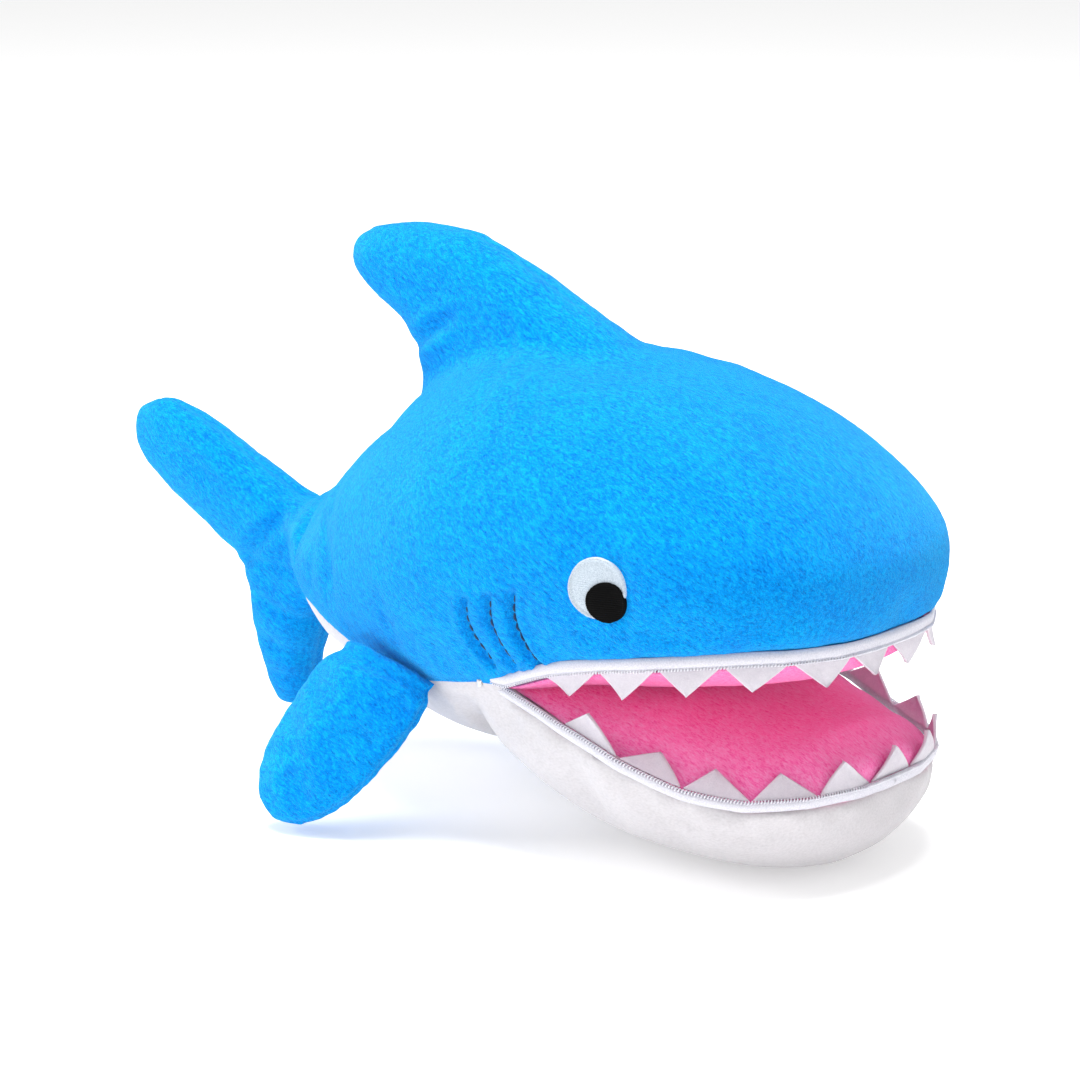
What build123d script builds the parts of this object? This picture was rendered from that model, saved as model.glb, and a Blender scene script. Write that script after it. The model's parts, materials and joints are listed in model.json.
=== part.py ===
from build123d import *
from math import cos, radians, sin, sqrt
import os

# Plush shark, sewn from short-pile plush and stuffed. Millimetres, +X towards the snout, +Y to the
# shark's left, +Z up. It stands on z = 0, on its lower jaw and the tips of its pectoral fins.

# ---- overall sizes ----
trunk_length = 337.0            # rump to tip of the snout
trunk_width = 188.0             # across the widest place of the trunk
back_height = 210.0             # floor to the highest place of the back
belly_height = 24.0             # floor to the lowest place of the belly
snout_x = 223.0                 # tip of the snout ahead of the origin

# ---- cloth, stuffing and running gaps ----
skin = 2.0                      # plush cloth with its pile pressed down
fill_gap = 0.3                  # between cloth and stuffing
run_gap = 0.5                   # between parts that move on each other
trim_gap = 0.15                 # between sewn-on trim and the cloth under it

# ---- mouth ----
corner_back = 161.0             # snout tip to the corners of the mouth
corner_height = 75.0            # floor to the corners of the mouth
upper_lip_angle = 11.0          # upper lip above the level
lower_lip_angle = 13.0          # lower lip below the level
jaw_length = 159.0              # corner line to the front of the lower lip, along the lip
jaw_width = 174.0
jaw_depth = 58.0                # lower lip to the underside, square to the lip
throat_angle = 25.0             # back of the jaw behind the upright
throat_clear = 7.0              # further that the jaw opens before it meets the throat
roll_radius = 4.0               # rolled seam that joins palate and mouth floor
palate_bulge = 8.0
floor_bulge = 13.0
floor_lining_inset = 5.8        # lip's outer face to the edge of the lining
palate_lining_inset = 7.1       # more, because the head widens over its lip
lining_start = 12.0             # along the lip from the corner line
lining_crown = 90.0             # along the lip to the highest place of the lining

# ---- zip and teeth ----
tape_width = 3.5                # tape that shows between cloth and coil
tape_thickness = 1.2
coil_height = 1.9
coil_thickness = 1.8
zip_start = 6.0                 # along the lip from the corner line
tooth_width = 25.0
upper_tooth_height = 12.0
lower_tooth_height = 11.0
upper_tooth_start = 24.0        # along the lip from the corner line
lower_tooth_start = 40.0
tooth_root = 4.0                # sewn in behind the zip
tooth_thickness = 1.4
tooth_pitch = 26.0
tooth_inset = 4.6               # lip's outer face to the middle of the felt
slider_size = (12.0, 5.0, 9.0)  # along the zip, out from the cloth, across the zip
stop_size = (3.0, 2.4, 5.0)
pull_size = (19.0, 1.3, 5.0)    # length, thickness, width
pull_pin = 1.2                  # radius
pull_play = 0.3
pull_wall = 1.0
seat_gap = 0.3                  # metal parts off the cloth that they sit on

# ---- eyes and gills ----
eye_width = 29.0
eye_height = 29.0
pupil_width = 19.0
pupil_height = 18.0
pupil_ahead = 4.0
pupil_below = 5.5
eye_back = 94.0                 # snout tip to the centre of the eye
eye_level = 128.0
trim_thickness = 1.2
gill_back = 130.0               # snout tip to the first gill stitch
gill_pitch = 12.3
gill_level = 103.0              # of the first one, and each next one lies lower
gill_step_down = 3.0
gill_length = 30.0
gill_lean = 30.0
gill_width = 1.6
gill_count = 3

# ---- fins ----
dorsal_rise = 95.0              # hinge line to the top of the dorsal fin
dorsal_chord = 122.0
dorsal_hub = 14.0               # radius of the root
dorsal_front_back = 150.0       # snout tip to the front end of the root
tail_ahead = 16.0               # swing line of the tail ahead of the rump
tail_level = 103.0
tail_hub = 14.0
tail_hub_height = 46.0
upper_lobe_reach = (124.0, 41.0)    # back and up from the swing line
lower_lobe_reach = (30.0, 88.0)     # back and down
lobe_chord = 46.0
fin_back = 217.0                # snout tip to the middle of a pectoral root
fin_level = 71.0
fin_root_chord = 56.0
fin_root_pitch = 13.0
fin_hub = 9.5
fin_out = 5.2                   # hinge line outside the side of the trunk
fin_reach = (31.0, 35.0, 64.0)  # back, out and down from root to tip

# Trunk outline, one row per station from rump to snout: share of the length, share of half the
# width, then middle line, back and belly as shares of the height between belly and back.
trunk_rows = [
    (0.000, 0.13, 0.409, 0.473, 0.344),
    (0.053, 0.32, 0.398, 0.532, 0.226),
    (0.122, 0.53, 0.403, 0.640, 0.140),
    (0.211, 0.72, 0.419, 0.765, 0.086),
    (0.315, 0.87, 0.446, 0.885, 0.038),
    (0.433, 0.97, 0.484, 0.973, 0.011),
    (0.552, 1.00, 0.505, 1.000, 0.000),
    (0.671, 0.98, 0.522, 0.973, 0.000),
    (0.775, 0.92, 0.538, 0.909, 0.032),
    (0.855, 0.81, 0.554, 0.817, 0.097),
    (0.923, 0.64, 0.565, 0.726, 0.194),
    (0.967, 0.45, 0.570, 0.656, 0.328),
    (0.988, 0.27, 0.575, 0.618, 0.473),
    (1.000, 0.03, 0.581, 0.591, 0.570),
]

# Lower jaw: share of the length, share of half the width, share of the depth.
jaw_rows = [
    (-0.300, 0.74, 0.55),
    (-0.080, 0.86, 0.79),
    (0.000, 0.90, 0.83),
    (0.126, 0.95, 0.90),
    (0.283, 0.99, 0.98),
    (0.472, 1.00, 1.00),
    (0.660, 0.91, 0.93),
    (0.818, 0.75, 0.78),
    (0.931, 0.49, 0.53),
    (0.987, 0.23, 0.24),
    (1.000, 0.02, 0.03),
]

# Tail lobes: shares of the reach back and up or down, lean of the chord from level, half chord as a
# share of the lobe's chord, half thickness as a share of the root's radius.
upper_lobe_rows = [
    (0.00, 0.00, 80.0, 0.36, 0.84),
    (0.32, 0.20, 84.0, 0.52, 0.86),
    (0.70, 0.62, 92.0, 0.44, 0.66),
    (0.95, 0.92, 100.0, 0.22, 0.42),
]
lower_lobe_rows = [
    (0.00, 0.00, 0.0, 0.26, 0.84),
    (0.86, 0.34, -4.0, 0.43, 0.86),
    (1.00, 0.68, -8.0, 0.34, 0.66),
    (0.97, 0.95, -10.0, 0.18, 0.42),
]

rump_x = snout_x - trunk_length
corner_x = snout_x - corner_back
corner = Vector(corner_x, 0, corner_height)
big = 4 * max(trunk_length, trunk_width, back_height)


def ring(half_width, up, down):
    """A closed outline of two half ellipses that share their widest points."""
    upper = EllipticalCenterArc((0, 0), half_width, up, start_angle=0, arc_size=180)
    lower = EllipticalCenterArc((0, 0), half_width, down, start_angle=180, arc_size=180)
    return make_face(Curve() + [upper, lower])


def trunk(inset):
    """The closed trunk before the mouth is cut, its surface moved in by the inset."""
    tall = back_height - belly_height
    middle = (snout_x + rump_x) / 2
    shrink = 1 - 2 * inset / trunk_length
    sections = []
    for along, wide, mid, top, low in trunk_rows:
        x = middle + (rump_x + along * trunk_length - middle) * shrink
        place = Plane((x, 0, belly_height + mid * tall), x_dir=(0, 1, 0), z_dir=(1, 0, 0))
        half = max(wide * trunk_width / 2 - inset, 0.5)
        up = max((top - mid) * tall - inset, 0.4)
        down = max((mid - low) * tall - inset, 0.4)
        sections.append(place * ring(half, up, down))
    return loft(sections)


def jaw_plane():
    """Plane of the lower lip: its X runs forward along the lip, its Z up and square to it."""
    lean = radians(lower_lip_angle)
    return Plane(corner, x_dir=(cos(lean), 0, -sin(lean)), z_dir=(sin(lean), 0, cos(lean)))


def head_plane():
    """Plane of the upper lip."""
    lean = radians(upper_lip_angle)
    return Plane(corner, x_dir=(cos(lean), 0, sin(lean)), z_dir=(-sin(lean), 0, cos(lean)))


def jaw_block(inset):
    """The closed jaw, its surface moved in by the inset, before lip and throat are cut."""
    base = jaw_plane()
    sections = []
    for along, wide, deep in jaw_rows:
        l = along * (jaw_length - inset)
        origin = base.from_local_coords(Vector(l, 0, 0))
        place = Plane(origin, x_dir=(0, 1, 0), z_dir=base.x_dir)
        half = max(wide * jaw_width / 2 - inset, 0.5)
        down = max(deep * jaw_depth - inset, 0.4)
        sections.append(place * ring(half, max(half / 3, 0.4), down))
    return loft(sections)


def slab(plane, low, high):
    """Everything between two heights over a plane."""
    return plane * Pos(0, 0, (low + high) / 2) * Box(big, big, high - low)


def wedge(start, end):
    """Everything between two directions from the corner line, in degrees above the level."""
    ends = [Vector(cos(radians(a)), 0, sin(radians(a))) * big for a in (start, (start + end) / 2, end)]
    face = make_face(Polyline([corner, corner + ends[0], corner + ends[1], corner + ends[2], corner]))
    return extrude(face, amount=big / 2, both=True, dir=(0, 1, 0))


def corner_roll(radius, half_length):
    """A bar along the corner line."""
    return Pos(corner) * Rot(90, 0, 0) * Cylinder(radius, 2 * half_length)


throat_face = -90 - throat_angle - throat_clear
mouth_space = wedge(throat_face, upper_lip_angle)
jaw_space = wedge(-90 - throat_angle, -lower_lip_angle)
zip_height = tape_width + coil_height


def trunk_size_at(x):
    """Half width, middle, back and belly heights of the trunk at one station."""
    share = (x - rump_x) / trunk_length
    tall = back_height - belly_height
    for first, second in zip(trunk_rows, trunk_rows[1:]):
        if first[0] <= share <= second[0]:
            part = (share - first[0]) / (second[0] - first[0])
            wide, mid, top, low = [a + (b - a) * part for a, b in zip(first[1:], second[1:])]
            return wide * trunk_width / 2, *[belly_height + v * tall for v in (mid, top, low)]


def side_at(x, z):
    """How far the trunk's side stands out from the middle at one place."""
    half, mid, top, low = trunk_size_at(x)
    reach = top - mid if z > mid else mid - low
    return half * sqrt(max(1 - ((z - mid) / reach) ** 2, 0))


# ---- fins: a root bar on the hinge line and a loft of ellipses ----

def bar(plane, radius, length):
    """A round-ended bar along the plane's X."""
    body = plane * Rot(0, 90, 0) * Cylinder(radius, length - 2 * radius)
    for end in (-1, 1):
        body += plane * Pos(end * (length / 2 - radius), 0, 0) * Sphere(radius)
    return body


def blade(stations, inset):
    """A fin of ellipse sections: (centre, chord direction, across direction, half chord, half thick)."""
    sections = []
    for centre, chord, across, half_chord, half_thick in stations:
        normal = Vector(*chord).cross(Vector(*across))
        place = Plane(centre, x_dir=chord, z_dir=normal)
        sections.append(place * Ellipse(max(half_chord - inset, 1.0), max(half_thick - inset, 0.8)))
    return loft(sections)


dorsal_front = snout_x - dorsal_front_back
dorsal_rear = dorsal_front - dorsal_chord


def back_line(x):
    """Height of the trunk's back over one station."""
    return trunk_size_at(x)[2]


def dorsal_plane():
    """Hinge line of the dorsal fin: X along the back, Z up."""
    front = Vector(dorsal_front, 0, back_line(dorsal_front) - dorsal_hub / 2)
    rear = Vector(dorsal_rear, 0, back_line(dorsal_rear) - dorsal_hub / 2)
    run = (front - rear).normalized()
    return Plane((front + rear) / 2, x_dir=run, z_dir=(-run.Z, 0, run.X))


def dorsal(inset):
    """Dorsal fin, swept back, tapering by more than it bends."""
    base = dorsal_plane()
    rows = [
        (0.00, 0.00, 0.500, 1.00),
        (0.20, 0.03, 0.450, 0.74),
        (0.42, 0.07, 0.390, 0.66),
        (0.70, 0.21, 0.310, 0.52),
        (0.88, 0.36, 0.200, 0.38),
        (0.95, 0.44, 0.110, 0.28),
    ]
    stations = []
    for rise, swept, half, thick in rows:
        height = rise * dorsal_rise - (inset if rise > 0.9 else 0)
        centre = base.from_local_coords(Vector(-swept * dorsal_chord, 0, height))
        stations.append((centre, base.x_dir, (0, 1, 0), half * dorsal_chord, thick * dorsal_hub))
    root = bar(base, dorsal_hub - inset, dorsal_chord - 2 * inset)
    return root + blade(stations, inset)


def dorsal_slot(gap):
    """Space that the fin sweeps: round its root, and straight up from it."""
    base = dorsal_plane()
    above = base * Pos(0, 0, big / 4) * Box(dorsal_chord + 2 * gap, 2 * (dorsal_hub + gap), big / 2)
    return bar(base, dorsal_hub + gap, dorsal_chord + 2 * gap) + above


tail_x = rump_x + tail_ahead


def tail(inset):
    """Tail fin with a long upper lobe and a shorter lower one, on an upright root."""
    upright = Plane((tail_x, 0, tail_level), x_dir=(0, 0, 1), z_dir=(1, 0, 0))
    shape = bar(upright, tail_hub - inset, tail_hub_height - 2 * inset)
    for reach, lift, rows in (
        (upper_lobe_reach, 1, upper_lobe_rows),
        (lower_lobe_reach, -1, lower_lobe_rows),
    ):
        stations = []
        for back, rise, lean, chord, thick in rows:
            centre = Vector(tail_x - back * reach[0], 0, tail_level + lift * rise * reach[1])
            chord_dir = (cos(radians(lean)), 0, sin(radians(lean)))
            stations.append((centre, chord_dir, (0, 1, 0), chord * lobe_chord, thick * tail_hub))
        shape += blade(stations, inset)
    return shape


def fin_plane():
    """Hinge line of the right pectoral fin: X along the root, Z towards the fin's tip."""
    x = snout_x - fin_back
    y = -side_at(x, fin_level) - fin_out
    pitch = radians(fin_root_pitch)
    along = Vector(cos(pitch), 0, -sin(pitch))
    tip = Vector(0, -fin_reach[1], -fin_reach[2])
    normal = (tip - along * tip.dot(along)).normalized()
    return Plane((x, y, fin_level), x_dir=along, z_dir=normal)


def pectoral(inset):
    """Right pectoral fin, hanging outwards and down to the floor."""
    base = fin_plane()
    across = base.y_dir
    back, out, down = fin_reach
    stations = []
    for share, chord, thick in ((0.0, 0.50, 1.0), (0.35, 0.51, 0.98), (0.68, 0.45, 0.86), (0.92, 0.24, 0.55)):
        centre = base.origin + Vector(-back, -out, -down) * (share - (inset / down if share > 0.9 else 0))
        stations.append((centre, base.x_dir, across, chord * fin_root_chord, thick * fin_hub))
    shape = bar(base, fin_hub - inset, fin_root_chord - 2 * inset) + blade(stations, inset)
    return shape & slab(Plane.XY, inset, big / 2)


def shell_of(shape):
    """Cloth of one stuffed part."""
    return shape(0) - shape(skin)


def stuffing_of(shape):
    """Fibre filling inside the cloth."""
    return shape(skin + fill_gap)


# ---- trunk ----

fins_space = dorsal_slot(run_gap)
fins_space += bar(
    Plane((tail_x, 0, tail_level), x_dir=(0, 0, 1), z_dir=(1, 0, 0)),
    tail_hub + run_gap,
    tail_hub_height + 2 * run_gap,
)
fins_space += Pos(tail_x - big / 2, 0, 0) * Box(big, big, big)
for side in (0, 1):
    socket = bar(fin_plane(), fin_hub + run_gap, fin_root_chord + 2 * run_gap)
    fins_space += socket.mirror(Plane.XZ) if side else socket


def back_and_belly():
    """Cloth of the trunk: right and left back panels above the side seam, and the belly below."""
    cloth = trunk(0) - trunk(skin) - mouth_space - corner_roll(roll_radius + trim_gap, trunk_width)
    cloth -= fins_space
    lip = head_plane()
    seam = Plane(corner, x_dir=(1, 0, 0), z_dir=(0, 0, 1))
    upper = cloth & slab(seam, 0, big / 2) & slab(lip, zip_height, big / 2)
    behind = Pos(corner_x - big / 2, 0, 0) * Box(big, big, big)
    upper += cloth & slab(seam, 0, big / 2) & slab(lip, -big / 4, zip_height) & behind
    belly = cloth & slab(seam, -big / 2, 0)
    right = upper & Pos(0, -big / 2, 0) * Box(big, big, big)
    left = upper & Pos(0, big / 2, 0) * Box(big, big, big)
    return right, left, belly


def filling():
    """Stuffing of trunk and head, flat over the palate."""
    fibre = trunk(skin + fill_gap) - mouth_space - fins_space
    fibre -= corner_roll(roll_radius + fill_gap, trunk_width)
    over_palate = Pos(corner_x + big / 2, 0, 0) * Box(big, big, big) & slab(head_plane(), -big / 4, zip_height)
    return fibre - over_palate


# ---- mouth ----

def jaw_cloth():
    """Cloth of the lower jaw, from the zip down to the flat that it stands on."""
    cloth = jaw_block(0) - jaw_block(skin)
    cloth &= slab(jaw_plane(), -big / 2, -zip_height)
    cloth &= jaw_space
    cloth &= slab(Plane.XY, 0, big / 2)
    return cloth - corner_roll(roll_radius + run_gap, jaw_width)


def jaw_filling():
    """Stuffing of the lower jaw, flat under the mouth floor."""
    fibre = jaw_block(skin + fill_gap) & slab(jaw_plane(), -big / 2, -zip_height)
    fibre &= jaw_space
    fibre &= slab(Plane.XY, skin + fill_gap, big / 2)
    return fibre - corner_roll(roll_radius + run_gap, jaw_width)


def ahead_of(plane, start):
    """Everything further along a lip than one place."""
    return plane * Pos(big / 2 + start, 0, 0) * Box(big, big, big)


def lining(plane, block, inset, foot, bulge):
    """Pink lining as a cushion: a straight-sided foot under a dome."""
    inside = block(inset) & ahead_of(plane, lining_start)
    wall = inside & slab(plane, min(foot, 0), max(foot, 0))
    box = wall.bounding_box()
    half = (box.max.Y - box.min.Y) / 2
    radius = (half ** 2 + bulge ** 2) / (2 * bulge)
    lift = -1 if foot > 0 else 1
    ball = plane * Pos(lining_crown, 0, lift * (bulge - radius)) * Sphere(radius)
    return wall + (inside & ball & slab(plane, min(lift * bulge, 0), max(lift * bulge, 0)))


def lip_curve(plane, block, inset, start):
    """The lip's outline at one inset, from one side round the front to the other."""
    cut = (plane * Rectangle(big, big)) & block(inset) & ahead_of(plane, start)
    edges = cut.edges().sort_by(Axis(plane.origin, plane.x_dir))
    return Wire(edges[1:])


def lip_ring(plane, block, outer, inner, low, high):
    """A band along the lip between two insets and two heights over the lip's plane."""
    band = (block(outer) - block(inner)) & slab(plane, low, high)
    return band & ahead_of(plane, zip_start)


def teeth(plane, block, lift, height, start):
    """Felt triangles side by side along the inside of the lip, sewn in at their roots."""
    curve = lip_curve(plane, block, tooth_inset, start)
    count = int((curve.length - tooth_width) // tooth_pitch) + 1
    first = (curve.length - (count - 1) * tooth_pitch) / 2
    row = []
    for number in range(count):
        at = (first + number * tooth_pitch) / curve.length
        place = Plane(curve @ at, x_dir=curve % at, z_dir=(curve % at).cross(plane.z_dir))
        up = place.to_local_coords(plane.z_dir + place.origin).Y
        tip = lift * up
        outline = Polyline(
            (-tooth_width / 2, -tip * tooth_root),
            (tooth_width / 2, -tip * tooth_root),
            (tooth_width / 2, 0),
            (0, tip * height),
            (-tooth_width / 2, 0),
            close=True,
        )
        row.append(place * extrude(make_face(outline), amount=tooth_thickness / 2, both=True))
    return Compound(children=row)


# ---- trim on the head ----

def patch(outline, low, high):
    """Trim that follows the cloth of the right side between two heights over it."""
    prism = extrude(outline, amount=big / 4)
    return (trunk(-high) - trunk(-low)) & prism


def eye_place():
    """Plane at the centre of the right eye, X forward and Y up."""
    return Plane((snout_x - eye_back, 0, eye_level), x_dir=(1, 0, 0), z_dir=(0, -1, 0))


def eye_white():
    """Embroidered white of the right eye."""
    outline = eye_place() * Ellipse(eye_width / 2, eye_height / 2)
    return patch(outline, trim_gap, trim_gap + trim_thickness)


def pupil():
    """Embroidered pupil, over the lower front of the white."""
    outline = eye_place() * Pos(pupil_ahead, -pupil_below) * Ellipse(pupil_width / 2, pupil_height / 2)
    low = 2 * trim_gap + trim_thickness
    return patch(outline, low, low + trim_thickness)


def gills():
    """Three lines of stitching behind the right eye, leaning forward at the bottom."""
    lines = []
    for number in range(gill_count):
        x = snout_x - gill_back - number * gill_pitch
        place = Plane((x, 0, gill_level - number * gill_step_down), x_dir=(1, 0, 0), z_dir=(0, -1, 0))
        outline = place * Rot(0, 0, gill_lean) * Rectangle(gill_width, gill_length)
        lines.append(patch(outline, trim_gap, trim_gap + trim_thickness))
    return Compound(children=lines)


def cloth_reach(x, z, half_length, half_height):
    """How far out the cloth comes under a small part."""
    return max(side_at(x + i * half_length, z + k * half_height) for i in (-1, 0, 1) for k in (-1, 0, 1))


def slider_place():
    """Centre of the slider, parked at the left corner of the mouth."""
    long, thick, tall = slider_size
    y = cloth_reach(corner_x, corner_height, long / 2, tall / 2) + seat_gap + thick / 2
    return Vector(corner_x, y, corner_height)


def pin_place():
    """Centre of the pin that the pull swings on."""
    barrel = pull_pin + pull_play + pull_wall
    return slider_place() + Vector(0, slider_size[1] / 2 + barrel + pull_play, 0)


def slider():
    """Slider with two ears and the pin of its pull."""
    long, thick, tall = slider_size
    ear = pull_wall
    block = Pos(slider_place()) * fillet(Box(long, thick, tall).edges().filter_by(Axis.Y), ear)
    pin = pin_place()
    for end in (-1, 1):
        z = end * (pull_size[2] / 2 + pull_play + ear / 2)
        radius = pull_pin + pull_play + pull_wall
        root = slider_place().Y + thick / 2
        plate = Box(2 * radius, pin.Y - root, ear)
        block += Pos(pin.X, (pin.Y + root) / 2, pin.Z + z) * plate
        block += Pos(pin.X, pin.Y, pin.Z + z) * Cylinder(radius, ear)
    return block + Pos(pin) * Cylinder(pull_pin, pull_size[2] + 2 * pull_play)


def pull():
    """Pull tab with a barrel round the pin, lying back along the side."""
    length, thick, wide = pull_size
    outer = pull_pin + pull_play + pull_wall
    barrel = Cylinder(outer, wide) - Cylinder(pull_pin + pull_play, wide)
    tab = Pos(-length / 2 - outer / 2, outer - thick / 2, 0) * Box(length, thick, wide)
    tab = fillet(tab.edges().filter_by(Axis.Y).group_by(Axis.X)[0], wide / 3)
    return Pos(pin_place()) * (barrel + (tab - Cylinder(pull_pin + pull_play, wide)))


def end_stop():
    """Crimped stop of the zip at the right corner of the mouth."""
    long, thick, tall = stop_size
    x = corner_x - roll_radius - long / 2
    y = cloth_reach(x, corner_height, long / 2, tall / 2) + seat_gap + thick / 2
    return Pos(x, -y, corner_height) * fillet(Box(long, thick, tall).edges(), thick / 5)


def throat_roll():
    """Rolled seam between palate and mouth floor, from corner to corner."""
    ends = side_at(corner_x, corner_height) - palate_lining_inset
    return corner_roll(roll_radius, ends)


os.makedirs("parts", exist_ok=True)


def save(name, shape):
    """Writes one sub-part."""
    solids = shape.solids()
    export_step(solids[0] if len(solids) == 1 else Compound(solids), f"parts/{name}.step")


def save_both(name, shape):
    """Writes a sub-part of the right side and its mirror image on the left."""
    save(f"right_{name}", shape)
    save(f"left_{name}", shape.mirror(Plane.XZ))


def save_stuffed(prefix, shape, plane, names):
    """Writes the two cloth panels of a fin, sewn along its middle plane, and its stuffing."""
    cloth = shell_of(shape)
    for name, half in zip(names, (slab(plane, 0, big / 2), slab(plane, -big / 2, 0))):
        save(f"{prefix}_{name}", cloth & half)
    save(f"{prefix}_stuffing", stuffing_of(shape))


right_back, left_back, belly = back_and_belly()
save("right_back_panel", right_back)
save("left_back_panel", left_back)
save("belly_panel", belly)
save("body_stuffing", filling())

save("jaw_panel", jaw_cloth())
save("jaw_stuffing", jaw_filling())
save("palate_lining", lining(head_plane(), trunk, palate_lining_inset, zip_height, palate_bulge))
save("mouth_floor_lining", lining(jaw_plane(), jaw_block, floor_lining_inset, -zip_height, floor_bulge))
save("throat_roll", throat_roll())
for name, plane, block, lift, height, start in (
    ("upper", head_plane(), trunk, 1, upper_tooth_height, upper_tooth_start),
    ("lower", jaw_plane(), jaw_block, -1, lower_tooth_height, lower_tooth_start),
):
    coil = sorted((lift * trim_gap, lift * coil_height))
    tape = sorted((lift * coil_height, lift * zip_height))
    save(f"{name}_zip_coil", lip_ring(plane, block, trim_gap, coil_thickness, *coil))
    tape_inset = (coil_thickness - tape_thickness) / 2
    save(f"{name}_zip_tape", lip_ring(plane, block, tape_inset, tape_inset + tape_thickness, *tape))
    save(f"{name}_teeth", teeth(plane, block, -lift, height, start))

save_both("eye_white", eye_white())
save_both("pupil", pupil())
save_both("gill_stitches", gills())
save("zip_slider", slider())
save("zip_pull_tab", pull())
save("zip_end_stop", end_stop())

middle = Plane((0, 0, 0), x_dir=(1, 0, 0), z_dir=(0, -1, 0))
save_stuffed("dorsal", dorsal, middle, ("right_panel", "left_panel"))
save_stuffed("tail", tail, middle, ("right_panel", "left_panel"))
fin = fin_plane()
face = Plane(fin.origin, x_dir=fin.x_dir, z_dir=-fin.y_dir)
cloth = shell_of(pectoral)
save_both("fin_outer_panel", cloth & slab(face, 0, big / 2))
save_both("fin_inner_panel", cloth & slab(face, -big / 2, 0))
save_both("fin_stuffing", stuffing_of(pectoral))
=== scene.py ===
import json
from math import cos, pi, radians, sin, sqrt, tan

import bmesh
import bpy
import numpy as np
from mathutils import Matrix, Vector, noise
from mathutils.bvhtree import BVHTree


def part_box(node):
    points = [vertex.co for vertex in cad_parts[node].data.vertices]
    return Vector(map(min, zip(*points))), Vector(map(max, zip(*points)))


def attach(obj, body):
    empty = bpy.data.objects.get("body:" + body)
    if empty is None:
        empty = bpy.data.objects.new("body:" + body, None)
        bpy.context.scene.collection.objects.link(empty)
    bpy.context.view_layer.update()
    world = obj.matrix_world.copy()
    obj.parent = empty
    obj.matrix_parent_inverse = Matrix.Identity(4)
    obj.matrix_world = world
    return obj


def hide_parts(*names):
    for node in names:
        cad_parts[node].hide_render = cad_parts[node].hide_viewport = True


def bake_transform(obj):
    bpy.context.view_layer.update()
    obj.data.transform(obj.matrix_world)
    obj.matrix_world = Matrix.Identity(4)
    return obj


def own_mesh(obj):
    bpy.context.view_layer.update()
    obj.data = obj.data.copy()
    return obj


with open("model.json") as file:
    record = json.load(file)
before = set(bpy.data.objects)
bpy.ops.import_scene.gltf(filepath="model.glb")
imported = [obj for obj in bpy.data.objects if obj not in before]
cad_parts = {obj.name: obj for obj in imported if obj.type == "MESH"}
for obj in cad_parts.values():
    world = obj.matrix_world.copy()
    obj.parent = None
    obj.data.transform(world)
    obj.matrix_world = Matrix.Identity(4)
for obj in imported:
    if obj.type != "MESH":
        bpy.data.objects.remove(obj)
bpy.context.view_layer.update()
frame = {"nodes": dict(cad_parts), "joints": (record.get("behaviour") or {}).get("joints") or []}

# ---------------------------------------------------------------- sizes, in metres
MM = 0.001
COIL = 1.9 * MM                 # height of the zip's coil
UPPER_TRIM = 4.0 * MM           # coil and tape that show under the blue cloth
LOWER_TRIM = 2.8 * MM           # the jaw's cloth nearly covers its tape
COIL_PITCH = 1.35 * MM
TOOTH_PITCH = 27.5 * MM
TOOTH_HEIGHT = 12 * MM
FELT = 1.5 * MM
EYE = (12.6 * MM, 12.9 * MM)    # half its width and height
PUPIL = (8.4 * MM, 8.5 * MM)
THREAD = 0.45 * MM              # satin-stitch thread
STITCH = 0.55 * MM              # radius of the gill thread where it shows
EYE_BORDER = 0.7 * MM           # raised row of stitches round the white of the eye
JAW_DEPTH = 58 * MM
LOWER_LIP = radians(13)         # how far the lower jaw droops
UPPER_REACH = 152 * MM          # from the corners of the mouth to the front of the upper lip
DORSAL_CUT = 24 * MM            # the dorsal fin's own piece starts this far above its root
VOXEL = 5.4 * MM                # mesh spacing of the cover before it is subdivided
PAST = 40 * MM                  # how far a cutter runs past the nose

joints = {joint["name"]: joint for joint in frame["joints"]}


def joint_at(name):
    """Where a joint's axis passes, and its direction."""
    joint = joints[name]
    return Vector(joint["pos_m"]), Vector(joint["axis"])


def middle_of(node):
    low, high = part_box(node)
    return (low + high) / 2


corner, _ = joint_at("jaw_hinge")
nose_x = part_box("right_back_panel")[1].x
back_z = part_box("right_back_panel")[1].z
belly_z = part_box("belly_panel")[0].z
half_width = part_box("left_back_panel")[1].y
tail_pivot, _ = joint_at("tail_wag")
rump_x = tail_pivot.x - 16 * MM
jaw_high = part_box("jaw_panel")[1]
jaw_length = (jaw_high.x - corner.x) / cos(LOWER_LIP)
jaw_half = jaw_high.y

# Trunk outline from rump to snout: share of the length, share of half the width, then middle line,
# back and belly as shares of the height between belly and back.
TRUNK = [
    (0.000, 0.13, 0.409, 0.473, 0.344),
    (0.053, 0.32, 0.398, 0.500, 0.226),
    (0.122, 0.50, 0.403, 0.585, 0.140),
    (0.211, 0.67, 0.419, 0.745, 0.086),
    (0.315, 0.83, 0.446, 0.885, 0.038),
    (0.433, 0.97, 0.484, 0.968, 0.011),
    (0.552, 1.00, 0.505, 0.995, 0.000),
    (0.671, 0.98, 0.522, 0.962, 0.000),
    (0.775, 0.92, 0.538, 0.902, 0.032),
    (0.855, 0.81, 0.554, 0.826, 0.097),
    (0.923, 0.64, 0.565, 0.742, 0.194),
    (0.960, 0.45, 0.570, 0.672, 0.328),
    (0.978, 0.27, 0.575, 0.622, 0.473),
    (0.988, 0.03, 0.581, 0.591, 0.570),
]
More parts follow.
